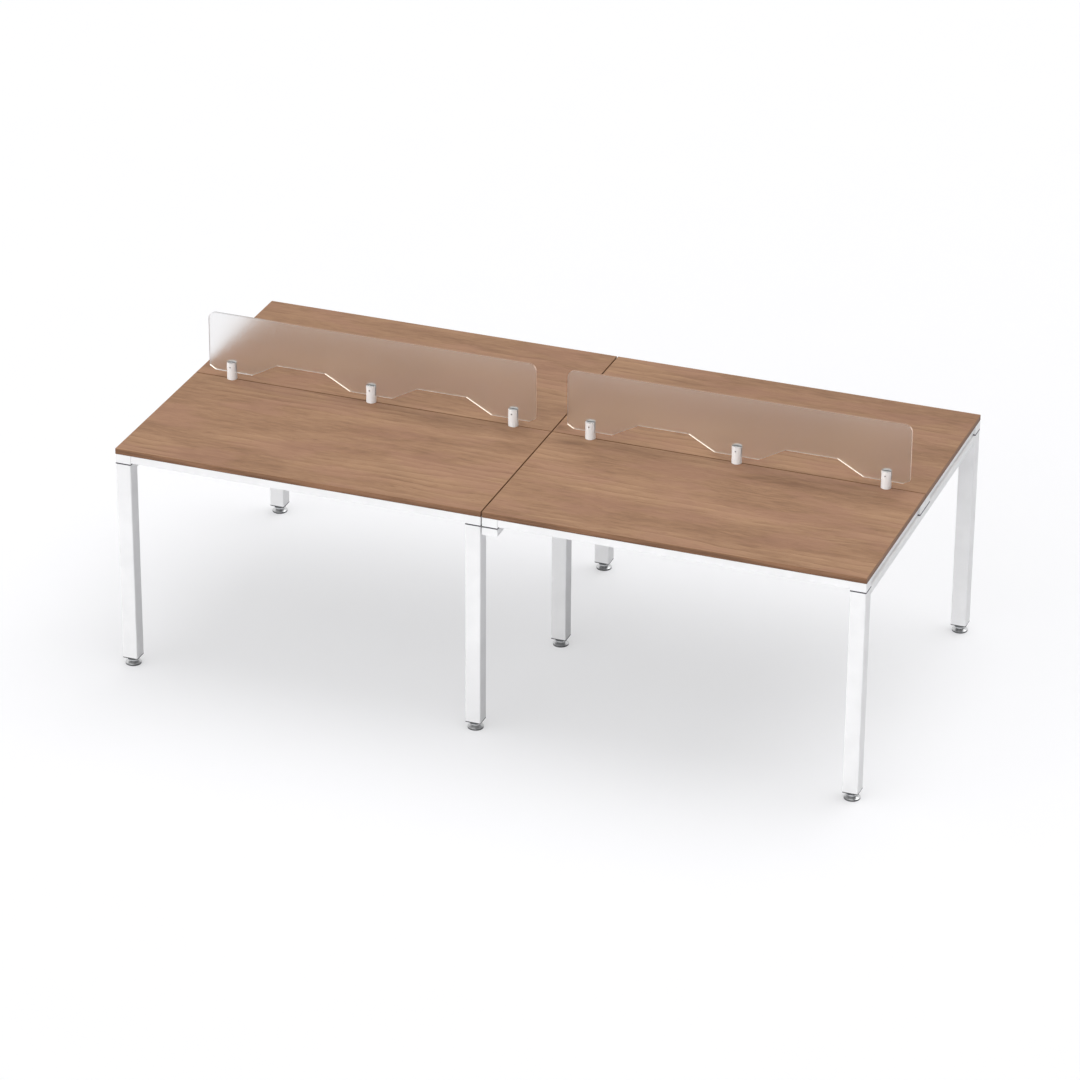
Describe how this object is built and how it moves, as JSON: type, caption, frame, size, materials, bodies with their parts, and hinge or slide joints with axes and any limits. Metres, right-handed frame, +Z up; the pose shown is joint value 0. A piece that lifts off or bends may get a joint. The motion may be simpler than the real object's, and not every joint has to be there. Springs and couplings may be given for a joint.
{
  "type": "bench desk",
  "caption": "Open bench desk with wood-look tops on a white square-tube frame, frosted notched screens held by round clamps on the middle seam, and screw-in levelling feet.",
  "frame": {"origin": "on the floor under the middle of the bench", "axes": "+X along the bench to the right, +Y from the front seats to the back seats, +Z up"},
  "size_m": [2.404, 1.203, 0.97],
  "materials": {
    "wood_top": "satin wood-look laminate, grain along the bench",
    "edge_band": "brown edge band",
    "white_frame": "white powder coat",
    "pad_rubber": "dark grey rubber",
    "plug_plastic": "dark grey plastic",
    "foot_chrome": "chrome",
    "zinc_steel": "zinc plated steel",
    "frosted_screen": "frosted",
    "clamp_aluminium": "satin",
    "liner_rubber": "clear grey rubber"
  },
  "bodies": {
    "desk": {"clamp_bodies": "clamp_aluminium", "clamp_bolts": "zinc_steel", "clamp_liners": "liner_rubber", "clamp_plates": "zinc_steel", "clamp_set_screws": "zinc_steel", "corner_blocks": "white_frame", "cross_beam_left": "white_frame", "cross_beam_middle_left": "white_frame", "cross_beam_middle_right": "white_frame", "cross_beam_right": "white_frame", "desktop_back_left": "wood_top", "desktop_back_right": "wood_top", "desktop_front_left": "wood_top", "desktop_front_right": "wood_top", "edge_band_back_left": "edge_band", "edge_band_back_right": "edge_band", "edge_band_front_left": "edge_band", "edge_band_front_right": "edge_band", "flange_nuts": "zinc_steel", "frame_bolts": "zinc_steel", "frame_pads": "pad_rubber", "leg_back_left": "white_frame", "leg_back_middle": "white_frame", "leg_back_right": "white_frame", "leg_centre": "white_frame", "leg_end_plugs": "plug_plastic", "leg_front_left": "white_frame", "leg_front_middle": "white_frame", "leg_front_right": "white_frame", "link_bolts": "zinc_steel", "link_spacers": "zinc_steel", "outer_rail_back_left": "white_frame", "outer_rail_back_right": "white_frame", "outer_rail_front_left": "white_frame", "outer_rail_front_right": "white_frame", "screen_left": "frosted_screen", "screen_right": "frosted_screen", "seam_rail_back_left": "white_frame", "seam_rail_back_right": "white_frame", "seam_rail_front_left": "white_frame", "seam_rail_front_right": "white_frame", "side_rails_back_left": "white_frame", "side_rails_back_right": "white_frame", "side_rails_front_left": "white_frame", "side_rails_front_right": "white_frame", "top_screws": "zinc_steel"},
    "foot_pad_front_left": {"foot_pad_front_left": "foot_chrome"},
    "foot_stud_front_left": {"foot_stud_front_left": "zinc_steel"},
    "foot_pad_front_middle": {"foot_pad_front_middle": "foot_chrome"},
    "foot_stud_front_middle": {"foot_stud_front_middle": "zinc_steel"},
    "foot_pad_front_right": {"foot_pad_front_right": "foot_chrome"},
    "foot_stud_front_right": {"foot_stud_front_right": "zinc_steel"},
    "foot_pad_back_left": {"foot_pad_back_left": "foot_chrome"},
    "foot_stud_back_left": {"foot_stud_back_left": "zinc_steel"},
    "foot_pad_back_middle": {"foot_pad_back_middle": "foot_chrome"},
    "foot_stud_back_middle": {"foot_stud_back_middle": "zinc_steel"},
    "foot_pad_back_right": {"foot_pad_back_right": "foot_chrome"},
    "foot_stud_back_right": {"foot_stud_back_right": "zinc_steel"},
    "foot_pad_centre": {"foot_pad_centre": "foot_chrome"},
    "foot_stud_centre": {"foot_stud_centre": "zinc_steel"}
  },
  "joints": [
    {"name": "foot_lift_front_left", "type": "slide", "parent": "desk", "child": "foot_pad_front_left", "axis": [0, 0, -1], "range_m": [0, 0.02]},
    {"name": "stud_turn_front_left", "type": "hinge", "parent": "foot_pad_front_left", "child": "foot_stud_front_left", "pos_m": [-1.177, -0.5765, 0.018], "axis": [0, 0, -1], "range_deg": [-45, 4845]},
    {"name": "foot_lift_front_middle", "type": "slide", "parent": "desk", "child": "foot_pad_front_middle", "axis": [0, 0, -1], "range_m": [0, 0.02]},
    {"name": "stud_turn_front_middle", "type": "hinge", "parent": "foot_pad_front_middle", "child": "foot_stud_front_middle", "pos_m": [-0.027, -0.5765, 0.018], "axis": [0, 0, -1], "range_deg": [-45, 4845]},
    {"name": "foot_lift_front_right", "type": "slide", "parent": "desk", "child": "foot_pad_front_right", "axis": [0, 0, -1], "range_m": [0, 0.02]},
    {"name": "stud_turn_front_right", "type": "hinge", "parent": "foot_pad_front_right", "child": "foot_stud_front_right", "pos_m": [1.177, -0.5765, 0.018], "axis": [0, 0, -1], "range_deg": [-45, 4845]},
    {"name": "foot_lift_back_left", "type": "slide", "parent": "desk", "child": "foot_pad_back_left", "axis": [0, 0, -1], "range_m": [0, 0.02]},
    {"name": "stud_turn_back_left", "type": "hinge", "parent": "foot_pad_back_left", "child": "foot_stud_back_left", "pos_m": [-1.177, 0.5765, 0.018], "axis": [0, 0, -1], "range_deg": [-45, 4845]},
    {"name": "foot_lift_back_middle", "type": "slide", "parent": "desk", "child": "foot_pad_back_middle", "axis": [0, 0, -1], "range_m": [0, 0.02]},
    {"name": "stud_turn_back_middle", "type": "hinge", "parent": "foot_pad_back_middle", "child": "foot_stud_back_middle", "pos_m": [-0.027, 0.5765, 0.018], "axis": [0, 0, -1], "range_deg": [-45, 4845]},
    {"name": "foot_lift_back_right", "type": "slide", "parent": "desk", "child": "foot_pad_back_right", "axis": [0, 0, -1], "range_m": [0, 0.02]},
    {"name": "stud_turn_back_right", "type": "hinge", "parent": "foot_pad_back_right", "child": "foot_stud_back_right", "pos_m": [1.177, 0.5765, 0.018], "axis": [0, 0, -1], "range_deg": [-45, 4845]},
    {"name": "foot_lift_centre", "type": "slide", "parent": "desk", "child": "foot_pad_centre", "axis": [0, 0, -1], "range_m": [0, 0.02]},
    {"name": "stud_turn_centre", "type": "hinge", "parent": "foot_pad_centre", "child": "foot_stud_centre", "pos_m": [0.027, 0.0265, 0.018], "axis": [0, 0, -1], "range_deg": [-45, 4845]}
  ],
  "couplings": [
    {"joint": "stud_turn_front_left", "follows": "foot_lift_front_left", "rad_per_m": 4188.8},
    {"joint": "stud_turn_front_middle", "follows": "foot_lift_front_middle", "rad_per_m": 4188.8},
    {"joint": "stud_turn_front_right", "follows": "foot_lift_front_right", "rad_per_m": 4188.8},
    {"joint": "stud_turn_back_left", "follows": "foot_lift_back_left", "rad_per_m": 4188.8},
    {"joint": "stud_turn_back_middle", "follows": "foot_lift_back_middle", "rad_per_m": 4188.8},
    {"joint": "stud_turn_back_right", "follows": "foot_lift_back_right", "rad_per_m": 4188.8},
    {"joint": "stud_turn_centre", "follows": "foot_lift_centre", "rad_per_m": 4188.8}
  ]
}
